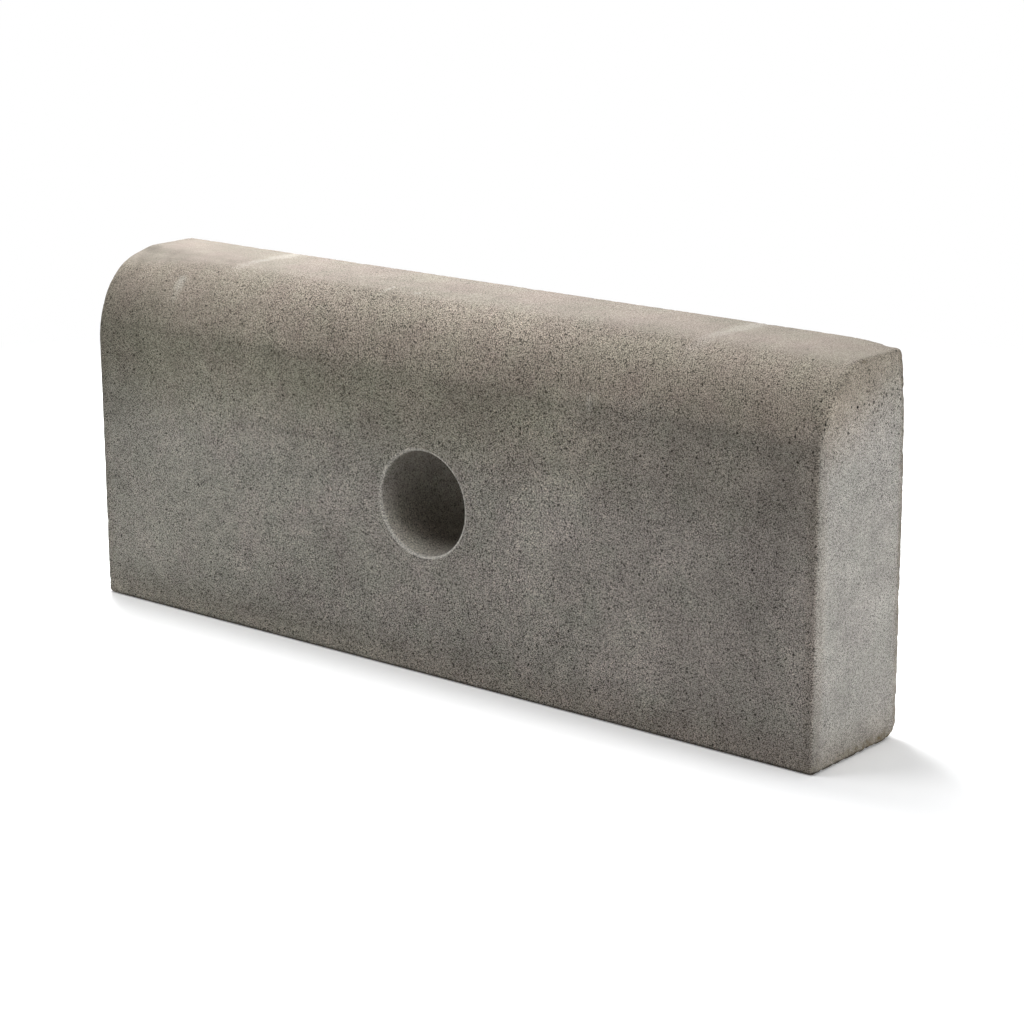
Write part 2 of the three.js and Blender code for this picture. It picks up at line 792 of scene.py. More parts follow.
# ---------------------------------------------------------------------------------------------
# Finishes
# ---------------------------------------------------------------------------------------------


def new_material(name: str) -> tuple[bpy.types.Material, Bench]:
    """Makes an empty material.

    Args:
        name: The material's name.

    Returns:
        The material, and the bench of its nodes.
    """
    material = bpy.data.materials.new(name)
    material.use_nodes = True
    return material, Bench(material.node_tree)


class Skin:
    """Places, faces and noises on the stone, as values of one bench. Lengths are in millimetres."""

    SHIFT = Vector((17.31, -9.13, 4.77))

    def __init__(self, bench: Bench, form: KerbForm) -> None:
        """Works out how far each point lies from the stone's faces.

        Args:
            bench: Where the nodes are made.
            form: The stone's form.
        """
        self.bench = bench
        source = bench.node("ShaderNodeTexCoord")
        self.place = bench.scaled(source.outputs["Object"], 1.0 / MM)
        self.x, self.y, self.z = self._split(self.place)
        facing_x, _, self.facing_up = self._split(source.outputs["Normal"])
        self.below_top = form.high.z / MM - self.z
        self.above_floor = self.z - form.low.z / MM
        self.behind_front = self.y - form.low.y / MM
        self.before_back = form.high.y / MM - self.y
        self.to_end = form.half_length / MM - abs(self.x)
        self.above_crease = form.nose_drop / MM - self.below_top
        radius, height = form.hole_radius / MM, form.hole_height / MM
        self.from_hole = self.x.hypot(self.z - height) - radius
        self.left_of_hole = self.x / -radius
        self.below_hole = (height - self.z) / radius
        self.in_hole = self.from_hole.ease(1.6, 0.2)
        self.on_end = abs(facing_x).ease(0.45, 0.85) * self.to_end.ease(14.0, 9.0)
        self.on_top = self.facing_up.ease(0.75, 0.98) * self.below_top.ease(14.0, 8.0)

    def above_front(self, low: float, high: float) -> Value:
        """From 0 at low to 1 at high above the front's crease, on the nose and the top alone."""
        off_back = self.before_back.ease(0.3, 2.5)
        return self.above_crease.ease(low, high) * (1.0 - self.on_end) * off_back

    def _split(self, vector: object) -> list[Value]:
        """The three numbers of a vector."""
        parts = self.bench.node("ShaderNodeSeparateXYZ", {}, {0: vector})
        return [Value(self.bench, output) for output in parts.outputs]

    def _moved(self, seed: int) -> object:
        """The place, moved so far that its noise is another one."""
        return self.bench.vector("ADD", self.place, seed * self.SHIFT)

    def noise(self, size: float, seed: int, detail: float = 1.0, rough: float = 0.5) -> Value:
        """Smooth noise about 0, mostly from -1 to 1.

        Args:
            size: The size of its lumps.
            seed: Picks the pattern.
            detail: How many finer layers it has.
            rough: The strength of each finer layer.

        Returns:
            The noise.
        """
        inputs = {
            "Vector": self._moved(seed),
            "Scale": 1.0 / size,
            "Detail": detail,
            "Roughness": rough,
        }
        return 4.0 * (self.bench.number("ShaderNodeTexNoise", 0, {}, inputs) - 0.5)

    def grains(self, size: float, seed: int) -> tuple[Value, Value]:
        """Grains packed side by side.

        Args:
            size: The spacing of the grains.
            seed: Picks the pattern.

        Returns:
            The distance from each grain's middle as a share of the spacing, and a random number
            from 0 to 1 for each grain.
        """
        inputs = {"Vector": self._moved(seed), "Scale": 1.0 / size}
        made = self.bench.node("ShaderNodeTexVoronoi", {}, inputs)
        chance = self._split(made.outputs["Color"])[0]
        return Value(self.bench, made.outputs["Distance"]), chance

    def packed(self, size: float, seed: int) -> Value:
        """Round grains packed evenly, as the height of each above its borders, about 0.

        The packing is turned, so that no face cuts it along its rows.

        Args:
            size: The spacing of the grains.
            seed: Picks the pattern.

        Returns:
            From about -0.4 between the grains to 0.5 on top of them.
        """
        source = {"Vector": self._moved(seed), "Rotation": (0.65, 0.41, 0.93)}
        turned = self.bench.node(
            "ShaderNodeVectorRotate", {"rotation_type": "EULER_XYZ"}, source
        )
        inputs = {"Vector": turned.outputs[0], "Scale": 1.0 / size, "Randomness": 0.75}
        return 0.5 - self.bench.number("ShaderNodeTexVoronoi", "Distance", {}, inputs)

    def from_line(self, start: Place, end: Place) -> tuple[Value, Value]:
        """Where a point lies beside a straight line, as seen from above.

        Args:
            start: Where the line starts.
            end: Where it ends.

        Returns:
            The distance from the line, and the share of the way along it.
        """
        flat = Vector((1.0, 1.0, 0.0))
        along = (Vector(end) - Vector(start)) * flat
        apart = self.bench.vector("SUBTRACT", self.place, start)
        apart = self.bench.vector("MULTIPLY", apart, flat)
        share = self._measured("DOT_PRODUCT", apart, along / along.length_squared)
        share = share.held(0.0, 1.0)
        return self._measured("DISTANCE", apart, self.bench.scaled(along, share)), share

    def from_middle(self, middle: Place, reach: Place) -> Value:
        """The distance from the middle of a round patch, as a share of its reach."""
        apart = self.bench.vector("SUBTRACT", self.place, middle)
        return self._measured("LENGTH", self.bench.vector("DIVIDE", apart, reach))

    def _measured(self, operation: str, *vectors: object) -> Value:
        """A number that a Vector Math node works out.

        Args:
            operation: What the node works out.
            *vectors: A vector or a link for each socket.

        Returns:
            The number.
        """
        settings = {"operation": operation}
        inputs = dict(enumerate(vectors))
        return self.bench.number("ShaderNodeVectorMath", "Value", settings, inputs)


@dataclass(frozen=True)
class Patch:
    """A soft patch of the skin that is paler or darker than the rest. Lengths are in mm.

    Attributes:
        middle: Its middle.
        reach: How far it goes along X, along Y and up.
        gain: How much paler it is, as a share. A dark patch has a negative one.
    """

    middle: Place
    reach: Place
    gain: float

    def strength(self, skin: Skin, full: float, ragged: Number = 0.0) -> Value:
        """How much paler or darker it makes each point.

        Args:
            skin: The places on the stone.
            full: Where it reaches its full strength, as a share of its reach.
            ragged: What makes its border uneven.

        Returns:
            The share by which the skin's brightness grows.
        """
        return self.gain * (skin.from_middle(self.middle, self.reach) + ragged).ease(1.2, full)


@dataclass(frozen=True)
class Scuff:
    """A pale streak where something has rubbed across the top or the nose. Lengths are in mm.

    Attributes:
        start: Where it starts, faintly.
        end: Where it ends.
        width: How far it goes to each side.
        strength: How far its colour takes over, from 0 to 1.
    """

    start: Place
    end: Place
    width: float
    strength: float


@dataclass(frozen=True)
class ConcreteFinish:
    """Weathered, sandy cast concrete.

    Attributes:
        form: The stone's form, which says where its edges are.
        cement: The colour of the front and back.
        under_nose_tone_and_shade: The darker, greenish colour just under the nose, partly its own
            warmer tone and partly painted shade.
        nose: The brown colour of the nose.
        crown: The sandy colour of the top.
        sides: The greyer colour of the end faces.
        greenish: The tint of some areas.
        pinkish: The tint of the others.
        dust_and_highlight: The pale colour of scuffs and rubbed edges, and of the painted highlight
            on the hole's rim.
        soil: The colour of dirt along the rough borders.
        shade: The colour of the painted contact shadow where the stone meets the floor.
        roughness: How matt it is.
        shine: How much of the light it mirrors.
        hole_light_turn: Where the painted light on the hole's wall is strongest, in degrees to the
            left of its lowest point.
        patches: The larger pale and dark areas.
        pores: The largest pores, painted dark as the shade inside them.
        scuffs: The pale streaks.
    """

    form: KerbForm
    cement: Colour = (0.367, 0.343, 0.307)
    under_nose_tone_and_shade: Colour = (0.340, 0.314, 0.254)
    nose: Colour = (0.350, 0.307, 0.255)
    crown: Colour = (0.340, 0.299, 0.257)
    sides: Colour = (0.383, 0.368, 0.341)
    greenish: Colour = (0.98, 1.012, 0.985)
    pinkish: Colour = (1.02, 0.99, 1.005)
    dust_and_highlight: Colour = (0.74, 0.71, 0.65)
    soil: Colour = (0.17, 0.14, 0.09)
    shade: Colour = (0.02, 0.018, 0.013)
    roughness: float = 0.92
    shine: float = 0.15
    hole_light_turn: float = 36.0
    patches: tuple[Patch, ...] = (
        Patch((-312, -40, 180), (64, 70, 110), -0.23),
        Patch((-130, -47, 160), (110, 30, 34), 0.08),
        Patch((-254, -47, 47), (28, 30, 30), 0.07),
        Patch((-130, -47, 150), (50, 20, 4), -0.16),
        Patch((-36, -47, 170), (20, 20, 20), -0.12),
        Patch((-110, -47, 42), (20, 30, 32), -0.13),
        Patch((-69, -47, 66), (16, 30, 26), -0.12),
        Patch((38, -47, 50), (26, 30, 44), -0.09),
        Patch((108, -47, 175), (42, 30, 40), 0.21),
        Patch((102, -47, 130), (36, 30, 34), 0.20),
        Patch((176, -47, 46), (26, 30, 34), 0.16),
        Patch((262, -47, 112), (34, 30, 60), -0.15),
        Patch((285, -47, 160), (26, 30, 34), -0.14),
        Patch((30, -30, 238), (60, 30, 22), 0.07),
        Patch((-285, -12, 249), (40, 22, 14), -0.17),
        Patch((92, -47, 85), (26, 20, 42), 0.09),
        Patch((-272, -47, 100), (25, 20, 40), -0.08),
        Patch((280, 5, 250), (45, 60, 20), 0.10),
        Patch((30, 10, 250), (34, 50, 20), 0.06),
        Patch((-178, -47, 108), (105, 20, 100), 0.10),
        # Painted shade along the front's crease, on its right part.
        Patch((240, -46, 200), (65, 20, 20), -0.11),
        # A painted highlight on the nose where it meets the right end face.
        Patch((307, -38, 226), (9, 10, 10), 0.30),
        Patch((46, -47, 177), (24, 20, 22), -0.08),
        Patch((-140, -20, 245), (170, 16, 14), -0.06),
        Patch((309, -43, 42), (6, 12, 42), -0.14),
    )
    pores: tuple[Patch, ...] = (
        Patch((-50, -17, 245), (3.0, 3.0, 3.0), -0.3),
        Patch((309, -8, 221), (3.0, 1.3, 1.0), -0.9),
        Patch((309, -18, 207), (3.0, 1.2, 0.9), -0.9),
        Patch((309, -13, 198), (3.0, 3.0, 5.0), -0.25),
        Patch((220, -47, 184), (0.8, 3.0, 0.8), -0.8),
        Patch((216, -47, 110), (0.8, 3.0, 0.8), -0.8),
    )
    scuffs: tuple[Scuff, ...] = (
        Scuff((-199, -12, 250), (-196, 46, 250), 8.0, 0.30),
        Scuff((196, -21, 243), (204, 46, 250), 9.0, 0.28),
        Scuff((-240, -36, 225), (-241, -29, 235), 5.5, 0.36),
        Scuff((-64, -15, 246), (-60, -6, 250), 2.2, 0.34),
        Scuff((-39, -10, 249), (-35, -9, 249), 2.5, 0.3),
        Scuff((139, -47, 204), (136, -46, 206), 2.0, 0.3),
    )

    def material(self) -> bpy.types.Material:
        """Makes the material.

        Returns:
            The material.
        """
        material, bench = new_material("weathered_concrete")
        skin = Skin(bench, self.form)
        grain, relief = self._sand(skin)
        colour = bench.scaled(self._tones(skin), self._patchiness(skin) * grain)
        dust_and_highlight = bench.scaled(self.dust_and_highlight, grain.lifted(0.35))
        # Pale scuffs, and the painted highlight on the hole's rim.
        colour = bench.mixed(self._rubbed_or_highlit(skin), colour, dust_and_highlight)
        colour = bench.mixed(self._soiled(skin), colour, self.soil)
        # The painted contact shadow along the foot.
        colour = bench.mixed(self._painted_contact_shadow(skin), colour, self.shade)
        bump = bench.node("ShaderNodeBump", {}, {"Height": relief, "Distance": MM})
        inputs = {
            "Base Color": colour,
            "Roughness": self.roughness,
            "Specular IOR Level": self.shine,
            "Normal": bump.outputs["Normal"],
        }
        shader = bench.node("ShaderNodeBsdfPrincipled", {}, inputs)
        bench.node("ShaderNodeOutputMaterial", {}, {"Surface": shader.outputs[0]})
        return material

    def _tones(self, skin: Skin) -> object:
        """The plain colour of each face, with the brown of the nose running out below it and
        painted shade just under the nose.

        Args:
            skin: The places on the stone.

        Returns:
            The link of the colour.
        """
        bench = skin.bench
        over_back = 0.65 * (skin.behind_front - 40.0).most(0.0)
        level = skin.above_crease - over_back * (1.0 - skin.on_end) - 10.0 * skin.on_end
        wavy = level + 7.0 * skin.noise(50.0, seed=1, detail=3.0, rough=0.6)
        # Painted shade under the nose, mixed with a warmer tone.
        below_nose_shade = wavy.ease(-85.0, -8.0) * (1.0 - 0.5 * skin.x.ease(60.0, 200.0))
        body = bench.mixed(below_nose_shade, self.cement, self.under_nose_tone_and_shade)
        body = bench.mixed(skin.on_end, body, self.sides)
        body = bench.mixed(self._brown(skin, wavy), body, self.nose)
        body = bench.mixed(skin.on_top * (1.0 - skin.on_end), body, self.crown)
        on_front = (1.0 - skin.on_end) * skin.above_crease.ease(30.0, -10.0)
        hue = skin.noise(30.0, seed=2, detail=3.0, rough=0.6) * (1.0 - 0.6 * skin.on_end)
        hue = (hue + skin.x / 500.0 * on_front).ease(-1.0, 1.0)
        return bench.mixed(1.0, body, bench.mixed(hue, self.greenish, self.pinkish), Laid.TIMES)

    @staticmethod
    def _brown(skin: Skin, wavy: Value) -> Value:
        """Where the skin is as brown as the nose, from 0 to 1.

        Args:
            skin: The places on the stone.
            wavy: The height above the crease, made uneven.

        Returns:
            The share of the brown.
        """
        in_front = wavy.ease(-8.0, 14.0)
        beside = (wavy + 10.0 + 0.3 * (40.0 - skin.behind_front)).ease(-25.0, 35.0)
        arris = skin.behind_front.least(skin.before_back).hypot(skin.to_end).ease(12.0, 4.0)
        brown = in_front + skin.on_end * (beside - in_front)
        return brown.most(0.45 * skin.above_floor.ease(32.0, 2.0)).most(0.3 * arris)

    def _patchiness(self, skin: Skin) -> Value:
        """How pale or dark each area is, about 1.

        Args:
            skin: The places on the stone.

        Returns:
            What the plain colour is multiplied by.
        """
        on_nose = skin.above_front(0.0, 12.0)
        wander = 0.45 * skin.noise(24.0, seed=3, detail=4.0, rough=0.65)
        gain = 1.0 + 0.15 * skin.noise(32.0, seed=4, detail=4.0, rough=0.7)
        gain = gain + 0.09 * (1.0 - on_nose) * skin.noise(11.0, seed=19, detail=3.0)
        gain = sum((patch.strength(skin, 0.2, wander) for patch in self.patches), gain)
        # The largest pores are painted dark, as painted shade inside them.
        gain = sum((pore.strength(skin, 0.7) for pore in self.pores), gain)
        gain = gain + self._front_bands(skin) + self._nose_light_and_shade(skin, on_nose)
        gain = gain + self._end_shades(skin)
        # The hole's wall gets painted shade, and painted light on its low left side.
        return gain * (1.0 + skin.in_hole * self._painted_hole_light_and_shade(skin))

    @staticmethod
    def _front_bands(skin: Skin) -> Value:
        """The bands along the front face: pale in its middle and at its foot, with painted shade in
        a band under the nose and along its crease.

        Args:
            skin: The places on the stone.

        Returns:
            The share by which the skin's brightness grows.
        """
        in_front = skin.behind_front.ease(30.0, 8.0) * (1.0 - skin.in_hole)
        belt = skin.above_floor.band(6.0, 60.0, 105.0, 170.0)
        under_nose_shade = skin.above_crease.band(-28.0, -1.0, 2.0, 16.0)
        crease = abs(skin.above_crease + 2.5 + 0.5 * skin.noise(18.0, seed=5)).ease(2.6, 0.2)
        foot = 0.12 * skin.above_floor.ease(14.0, 7.0) * skin.x.ease(100.0, -80.0)
        foot = foot + 0.09 * skin.above_floor.ease(16.0, 6.0)
        return in_front * (0.11 * belt - 0.04 * under_nose_shade - 0.03 * crease + foot)

    @staticmethod
    def _nose_light_and_shade(skin: Skin, on_nose: Value) -> Value:
        """The painted light and shade along the nose: pale beside its two creases, darker between
        them and behind.

        Args:
            skin: The places on the stone.
            on_nose: Where the nose and the top are.

        Returns:
            The share by which the skin's brightness grows.
        """
        brow = skin.behind_front.band(18.0, 30.0, 38.0, 45.0)
        verge = skin.behind_front.band(38.0, 45.0, 50.0, 75.0)
        lip = skin.above_crease.band(-1.0, 3.0, 6.0, 11.0)
        lap = skin.above_crease.band(4.0, 9.0, 24.0, 32.0)
        rise = 0.07 * brow + 0.08 * lip - 0.05 * lap * skin.x.ease(-200.0, -100.0)
        off_back = (1.0 - skin.on_end) * skin.behind_front.ease(55.0, 46.0)
        return off_back * rise - 0.07 * on_nose * verge * skin.x.ease(120.0, 0.0)

    @staticmethod
    def _end_shades(skin: Skin) -> Value:
        """The end faces, mottled high up and dark at top and bottom, and their dark arrises.

        Args:
            skin: The places on the stone.

        Returns:
            The share by which the skin's brightness grows.
        """
        mottling = skin.noise(13.0, seed=18, detail=3.0, rough=0.7)
        on_face = 0.12 * skin.below_top.ease(130.0, 40.0) * mottling
        on_face = on_face - 0.1 * skin.below_top.ease(30.0, 10.0)
        on_face = on_face - 0.17 * skin.above_floor.ease(18.0, 8.0)
        front_arris = 0.12 * skin.behind_front.hypot(skin.to_end).ease(9.0, 4.0)
        back_arris = 0.16 * skin.before_back.hypot(skin.to_end).ease(9.0, 4.0)
        back_arris = back_arris * skin.above_floor.ease(60.0, 120.0)
        return skin.on_end * on_face - front_arris - back_arris

    def _painted_hole_light_and_shade(self, skin: Skin) -> Value:
        """How much paler than the rest the hole's wall is painted: darker all round as painted
        shade, and paler on its low left side as painted light.

        Args:
            skin: The places on the stone.

        Returns:
            The share by which the wall's brightness grows.
        """
        turn = math.radians(self.hole_light_turn)
        low_left = math.cos(turn) * skin.below_hole + math.sin(turn) * skin.left_of_hole
        return 1.05 * low_left.most(0.0) ** 3.0 * skin.behind_front.ease(40.0, 4.0) - 0.18

    def _sand(self, skin: Skin) -> tuple[Value, Value]:
        """The brightness of each grain of sand, about 1, with painted shade in the air holes, and
        the height of the grains in mm.

        Args:
            skin: The places on the stone.

        Returns:
            The brightness and the height.
        """
        clumps = skin.noise(8.0, seed=6, detail=2.0, rough=0.6)
        coarse = skin.noise(2.4, seed=12, detail=2.0, rough=0.65)
        speck = skin.grains(0.42, seed=7)[1] - 0.5
        from_grain, chance = skin.grains(1.3, seed=8)
        grain = from_grain.ease(0.6, 0.35)
        dark = (chance + 0.05 * clumps).ease(0.26, 0.14) * grain
        pale = chance.ease(0.80, 0.92) * grain
        high_up = skin.below_top.ease(130.0, 40.0)
        chips = 0.05 * coarse + 0.06 * clumps - 0.1 * dark + 0.3 * pale
        chips = chips + 0.05 * (1.0 + high_up) * skin.on_end * (coarse + clumps)
        chips = (1.0 - 0.5 * skin.above_front(-4.0, 12.0)) * chips
        tone = 1.2 * speck + 2.8 * skin.packed(0.9, seed=14) + chips
        pit = self._pits(skin)
        height = 0.05 * coarse + 0.14 * pale - 0.12 * dark
        # Air holes are painted dark, as painted shade inside them.
        return (1.0 + self._contrast(skin) * tone).most(0.08) * (1.0 - 0.7 * pit), height

    @staticmethod
    def _contrast(skin: Skin) -> Value:
        """How strongly the grains of sand differ, least on the top, the ends and in the hole.

        Args:
            skin: The places on the stone.

        Returns:
            The share of their full difference that shows.
        """
        middle = skin.x.band(-270.0, -60.0, 60.0, 270.0)
        calm = 0.14 * skin.on_end * skin.below_top.ease(40.0, 160.0)
        calm = calm + 0.16 * skin.on_end + 0.45 * skin.on_top + 0.25 * skin.in_hole
        calm = calm + 0.25 * skin.below_top.ease(45.0, 15.0) * skin.x.ease(-130.0, -280.0)
        patchy = 0.12 * skin.noise(22.0, seed=13, detail=2.0, rough=0.6)
        return 0.79 + 0.18 * middle - calm + patchy

    @staticmethod
    def _pits(skin: Skin) -> Value:
        """Small open air holes, from 0 to 1: a few all over, and many high up on the end faces.

        Args:
            skin: The places on the stone.

        Returns:
            0 on the skin and 1 inside an air hole.
        """
        from_pit, chance = skin.grains(3.4, seed=9)
        crowd = skin.noise(22.0, seed=15, detail=2.0, rough=0.6)
        high_up = skin.below_top.band(12.0, 30.0, 40.0, 150.0)
        often = 0.09 + 0.33 * skin.on_end * high_up + 0.06 * crowd - 0.12 * skin.on_top
        is_open = (often - chance).ease(-0.01, 0.02)
        return is_open * from_pit.ease(0.34, 0.18) * (1.0 - skin.in_hole)

    def _rubbed_or_highlit(self, skin: Skin) -> Value:
        """Where the skin is rubbed pale by scuffs, or carries the painted highlight of the hole's
        rim, from 0 to 1.

        Args:
            skin: The places on the stone.

        Returns:
            How far the pale colour takes over.
        """
        ragged = 0.3 * skin.noise(3.0, seed=10, detail=2.0, rough=0.7)
        ragged = ragged + 0.35 * skin.noise(14.0, seed=16, detail=2.0, rough=0.6)
        streaks = []
        for scuff in self.scuffs:
            beside, along = skin.from_line(scuff.start, scuff.end)
            away = beside / scuff.width + ragged
            streaks.append(scuff.strength * along.lifted(0.35) * away.ease(1.1, 0.0))
        scuffed = reduce(Value.most, streaks) * skin.above_front(-6.0, -2.0)
        return scuffed.most(self._painted_rim_highlight(skin, ragged))

    @staticmethod
    def _painted_rim_highlight(skin: Skin, ragged: Value) -> Value:
        """The painted highlight on the rim of the hole's front mouth, wider at its left.

        Args:
            skin: The places on the stone.
            ragged: What makes its border uneven.

        Returns:
            How far it is rubbed pale, from 0 to 1.
        """
        leftness, lowness = skin.left_of_hole.held(0.0, 1.0), skin.below_hole.held(-1.0, 1.0)
        off_middle = abs(skin.from_hole - 0.6 - 1.6 * leftness)
        rim = (off_middle - 0.3 * leftness).ease(1.6, 0.4) * skin.behind_front.ease(4.0, 1.0)
        # The strength of the painted highlight round the rim.
        worn = 0.88 + 0.2 * lowness - 0.3 * leftness + 0.9 * ragged
        return rim * worn.least(1.0)

    @staticmethod
    def _soiled(skin: Skin) -> Value:
        """How much dirt lies in the rough borders, from 0 to 1.

        Args:
            skin: The places on the stone.

        Returns:
            How far the colour of soil takes over.
        """
        ragged = 3.5 * skin.noise(5.0, seed=11, detail=2.0, rough=0.7)
        back_edge = 0.35 * (skin.before_back + ragged).ease(7.0, 2.0) * skin.on_end
        foot = (skin.above_floor + 1.3 * ragged).ease(10.0, 1.5) * skin.to_end.ease(14.0, 9.0)
        foot = foot * skin.behind_front.ease(15.0, 60.0).lifted(0.45)
        foot = foot * (0.7 + 0.6 * skin.noise(3.5, seed=20, detail=2.0, rough=0.6))
        crown_edge = (skin.below_top.hypot(skin.to_end) + 0.7 * ragged).ease(4.5, 1.5)
        crown_edge = crown_edge * skin.behind_front.ease(34.0, 48.0) * skin.x.ease(-100.0, 0.0)
        return back_edge.most(foot).most(0.7 * crown_edge)

    @staticmethod
    def _painted_contact_shadow(skin: Skin) -> Value:
        """The painted contact shadow: a thin dark line where the stone meets the floor, from 0 to
        1.

        Args:
            skin: The places on the stone.

        Returns:
            How far the colour of the line takes over.
        """
        ragged = 0.5 * skin.noise(6.0, seed=17, detail=3.0, rough=0.7)
        line = (skin.above_floor + ragged).ease(2.8, 1.5) * skin.x.ease(-309.0, -285.0)
        return line * (0.55 + 0.3 * skin.on_end)


@dataclass(frozen=True)
class FloorFinish:
    """A plain pale studio floor that keeps the stone's shadow.

    Attributes:
        colour: The floor's colour, which the light that it throws back takes.
        seen_colour: The colour that the camera sees.
        glow: What the camera sees on top, so that the lit floor is white.
        shaded_reach: How far round the stone the floor shows its shadow in full.
        white_reach: Where the floor is plain white to look at, beyond the lamps' reach.
    """

    colour: Colour = (0.62, 0.62, 0.62)
    seen_colour: Colour = (1.34, 1.35, 1.365)
    glow: float = 0.17
    shaded_reach: float = 0.75
    white_reach: float = 1.15

    def material(self) -> bpy.types.Material:
        """Makes the material.

        Returns:
            The material.
        """
        material, bench = new_material("pale_floor")
        is_seen = bench.number("ShaderNodeLightPath", "Is Camera Ray")
        colour = bench.mixed(is_seen, self.colour, self.seen_colour, Laid.OVER)
        matt = bench.node("ShaderNodeBsdfDiffuse", {}, {"Color": colour})
        glow = bench.node("ShaderNodeEmission", {}, {"Strength": is_seen * self.glow})
        both = bench.node("ShaderNodeAddShader", {}, {0: matt.outputs[0], 1: glow.outputs[0]})
        place = bench.node("ShaderNodeTexCoord").outputs["Object"]
        away = bench.number("ShaderNodeVectorMath", "Value", {"operation": "LENGTH"}, {0: place})
        is_far = is_seen * away.ease(self.shaded_reach, self.white_reach)
        white = bench.node("ShaderNodeEmission", {}, {"Color": WHITE})
        inputs = {0: is_far, 1: both.outputs[0], 2: white.outputs[0]}
        floor = bench.node("ShaderNodeMixShader", {}, inputs)
        bench.node("ShaderNodeOutputMaterial", {}, {"Surface": floor.outputs[0]})
        return material


# ---------------------------------------------------------------------------------------------
# The stone
# ---------------------------------------------------------------------------------------------


def put_in_scene(name: str, data: bpy.types.ID) -> bpy.types.Object:
    """Makes an object of a mesh, a lamp or a camera and puts it in the scene.

    Args:
        name: The object's name.
        data: The mesh, lamp or camera.

    Returns:
        The object.
    """
    made = bpy.data.objects.new(name, data)
    bpy.context.scene.collection.objects.link(made)
    return made


def points_of(mesh: bpy.types.Mesh) -> np.ndarray:
    """The places of a mesh's vertices, one row each.

    Args:
        mesh: The mesh to read.

    Returns:
        One row of three coordinates for each vertex.
    """
    flat = np.empty(3 * len(mesh.vertices), dtype=np.float32)
    mesh.vertices.foreach_get("co", flat)
    return flat.reshape(-1, 3).astype(float)


def place_points(mesh: bpy.types.Mesh, points: np.ndarray) -> None:
    """Moves a mesh's vertices to the given places."""
    mesh.vertices.foreach_set("co", points.astype(np.float32).ravel())
    mesh.update()


@dataclass(frozen=True)
class KerbStone:
    """The one cast piece, with its worn surface.

    Attributes:
        node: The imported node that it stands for.
        form: The cast form.
        merged: How close corners of the node lie that are one and the same.
        voxel: The spacing of the points on which the wear is worked out.
        triangles: The most triangles that the finished mesh keeps.
        wear: What the surface has lost.
        corner: The worn top corner.
    """

    node: bpy.types.Object
    form: KerbForm
    merged: float = 0.001 * MM
    voxel: float = 1.2 * MM
    triangles: int = 194_000
    wear: tuple[Wear, ...] = (MouldWaves(), ArrisWear(), CrumblyBorder())
    corner: WornCorner = WornCorner()

    def build(self) -> bpy.types.Object:
        """Makes the worn stone and puts it in the place of its node.

        Returns:
            The finished piece.
        """
        piece = self._copied()
        self._rework(piece, "REMESH", mode="VOXEL", voxel_size=self.voxel)
        self._take_off_wear(piece)
        triangles = 2 * len(piece.data.polygons)  # the remeshed faces are squares
        self._rework(piece, "DECIMATE", ratio=self.triangles / triangles)
        self._keep_in_box(piece)
        piece.data.shade_smooth()
        piece.data.materials.clear()
        piece.data.materials.append(ConcreteFinish(self.form).material())
        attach(piece, "root")
        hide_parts(self.node.name)
        return piece

    def _copied(self) -> bpy.types.Object:
        """A copy of the node whose faces share their corners.

        Returns:
            The copy, as an object in the scene.
        """
        mesh = self.node.data.copy()
        work = bmesh.new()
        work.from_mesh(mesh)
        bmesh.ops.remove_doubles(work, verts=work.verts, dist=self.merged)
        work.to_mesh(mesh)
        work.free()
        return put_in_scene("kerb_stone_cast", mesh)

    @staticmethod
    def _rework(piece: bpy.types.Object, kind: str, **settings: object) -> None:
        """Runs one modifier on the piece and keeps what it makes.

        Args:
            piece: The piece to work on.
            kind: The modifier's type.
            **settings: The modifier's properties.
        """
        modifier = piece.modifiers.new(kind.lower(), kind)
        for name, setting in settings.items():
            setattr(modifier, name, setting)
        depsgraph = bpy.context.evaluated_depsgraph_get()
        made = bpy.data.meshes.new_from_object(piece.evaluated_get(depsgraph))
        piece.modifiers.clear()
        plain, piece.data = piece.data, made
        bpy.data.meshes.remove(plain)

    def _take_off_wear(self, piece: bpy.types.Object) -> None:
        """Moves every point onto the true form, and then in by what it has lost.

        Args:
            piece: The stone, meshed finely.
        """
        points = self.form.settle(points_of(piece.data))
        inward = -self.form.slope(points)
        lost = sum(layer.lost(points, self.form) for layer in self.wear)
        points = self.corner.moved(points + lost[:, None] * inward, self.form)
        place_points(piece.data, points)

    def _keep_in_box(self, piece: bpy.types.Object) -> None:
        """Draws in any point that the thinning has left outside the stone's box."""
        points = points_of(piece.data)
        place_points(piece.data, points.clip(self.form.low, self.form.high))


# ---------------------------------------------------------------------------------------------
# The studio
# ---------------------------------------------------------------------------------------------


def facing(place: Vector, aim: Vector) -> Matrix:
    """Where a camera or a lamp stands that looks from a place at a point."""
    turn = (aim - place).to_track_quat("-Z", "Y").to_matrix().to_4x4()
    return Matrix.Translation(place) @ turn


@dataclass(frozen=True)
class CameraStand:
    """Where the camera stands and what it looks at.

    Attributes:
        place: Where the camera is.
        aim: The point in the middle of the picture.
        roll: How far it leans, in degrees.
        lens: Focal length in millimetres.
        sensor: Width of the picture behind the lens in millimetres.
    """

    place: Vector = Vector((1.19732, -1.41066, 0.60511))
    aim: Vector = Vector((0.02705, 0.01161, 0.10476))
    roll: float = -0.181
    lens: float = 100.519
    sensor: float = 36.0

    def build(self) -> bpy.types.Object:
        """Makes the camera and looks through it.

        Returns:
            The camera.
        """
        data = bpy.data.cameras.new("camera")
        data.lens = self.lens
        data.sensor_width = self.sensor
        camera = put_in_scene("camera", data)
        lean = Matrix.Rotation(math.radians(self.roll), 4, "Z")
        camera.matrix_world = facing(self.place, self.aim) @ lean
        bpy.context.scene.camera = camera
        return camera


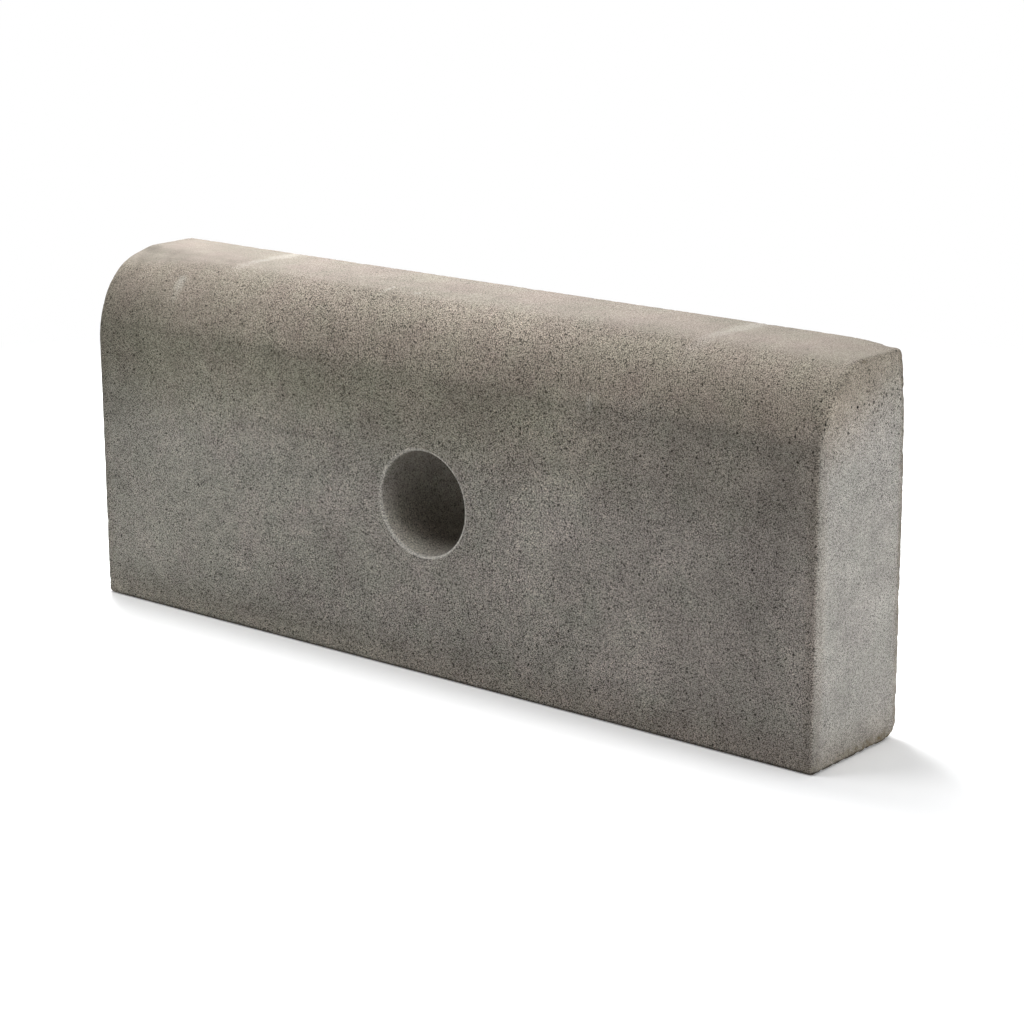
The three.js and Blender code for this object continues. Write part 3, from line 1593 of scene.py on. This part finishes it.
@dataclass(frozen=True)
class SoftBox:
    """One rectangular studio lamp.

    Attributes:
        name: The lamp's name.
        place: Its centre.
        width: Its width.
        height: Its height.
        power: Its light in watts.
        aim: The point that it faces.
    """

    name: str
    place: Vector
    width: float
    height: float
    power: float
    aim: Vector = Vector((0.0, 0.0, 0.12))

    def build(self) -> bpy.types.Object:
        """Makes the lamp.

        Returns:
            The lamp.
        """
        data = bpy.data.lights.new(self.name, "AREA")
        data.shape = "RECTANGLE"
        data.size = self.width
        data.size_y = self.height
        data.energy = self.power
        lamp = put_in_scene(self.name, data)
        lamp.matrix_world = facing(self.place, self.aim)
        lamp.visible_camera = False
        return lamp


@dataclass(frozen=True)
class Studio:
    """The floor, the lamps and the white surroundings.

    Attributes:
        floor_size: Side of the square floor.
        floor_gap: How far the floor lies below the stone.
        lamps: The lamps.
    """

    floor_size: float = 40.0
    floor_gap: float = 0.05 * MM
    lamps: tuple[SoftBox, ...] = (
        SoftBox("overhead_lamp", Vector((0.0, 0.15, 1.6)), 1.4, 0.3, 9.8),
        SoftBox("left_top_lamp", Vector((-0.3, 0.2, 0.8)), 0.6, 0.6, 2.4),
        SoftBox("back_left_lamp", Vector((-0.9, 0.6, 1.0)), 0.5, 0.5, 12.0),
        SoftBox("low_back_left_lamp", Vector((-1.52, 1.52, 0.56)), 0.9, 0.9, 10.5),
        SoftBox("front_left_lamp", Vector((-0.78, -0.78, 2.0)), 0.9, 0.9, 12.2),
        SoftBox("front_right_lamp", Vector((0.78, -0.78, 2.0)), 0.9, 0.9, 2.5),
        SoftBox("low_front_lamp", Vector((-0.6, -1.2, 0.25)), 1.0, 0.4, 1.6),
        SoftBox("low_right_lamp", Vector((1.2, 0.0, 0.12)), 0.6, 0.2, 5.4),
    )

    def build(self) -> list[bpy.types.Object]:
        """Makes everything round the stone.

        Returns:
            The floor and the lamps.
        """
        self._surround()
        return [self._floor(), *(lamp.build() for lamp in self.lamps)]

    def _floor(self) -> bpy.types.Object:
        """The floor, just under the stone.

        Returns:
            The floor.
        """
        half = self.floor_size / 2.0
        corners = [(-half, -half, 0), (half, -half, 0), (half, half, 0), (-half, half, 0)]
        mesh = bpy.data.meshes.new("floor")
        mesh.from_pydata(corners, [], [(0, 1, 2, 3)])
        mesh.materials.append(FloorFinish().material())
        floor = put_in_scene("floor", mesh)
        floor.location.z = -self.floor_gap
        return floor

    @staticmethod
    def _surround() -> None:
        """A world that is white to look at, also in what mirrors it, and lights nothing."""
        world = bpy.data.worlds.new("studio")
        world.use_nodes = True
        bench = Bench(world.node_tree)
        path = bench.node("ShaderNodeLightPath")
        rays = ("Is Camera Ray", "Is Glossy Ray", "Is Transmission Ray")
        is_seen = reduce(Value.most, [Value(bench, path.outputs[ray]) for ray in rays])
        glow = bench.node("ShaderNodeBackground", {}, {"Color": WHITE, "Strength": is_seen})
        bench.node("ShaderNodeOutputWorld", {}, {"Surface": glow.outputs[0]})
        bpy.context.scene.world = world


# ---------------------------------------------------------------------------------------------
# Everything in order
# ---------------------------------------------------------------------------------------------


def main() -> None:
    """Loads the frame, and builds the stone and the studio."""
    logging.basicConfig(level=logging.INFO, format="%(name)s: %(message)s")
    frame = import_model()
    bpy.context.scene.view_settings.view_transform = "Standard"
    CameraStand().build()
    stone = KerbStone(frame["nodes"]["kerb_stone"], KerbForm(*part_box("kerb_stone")))
    piece = stone.build()
    piece.data.calc_loop_triangles()
    LOG.info("%s: %d triangles", piece.name, len(piece.data.loop_triangles))
    for thing in Studio().build():
        LOG.info("%s is in place", thing.name)


if __name__ == "__main__":
    main()
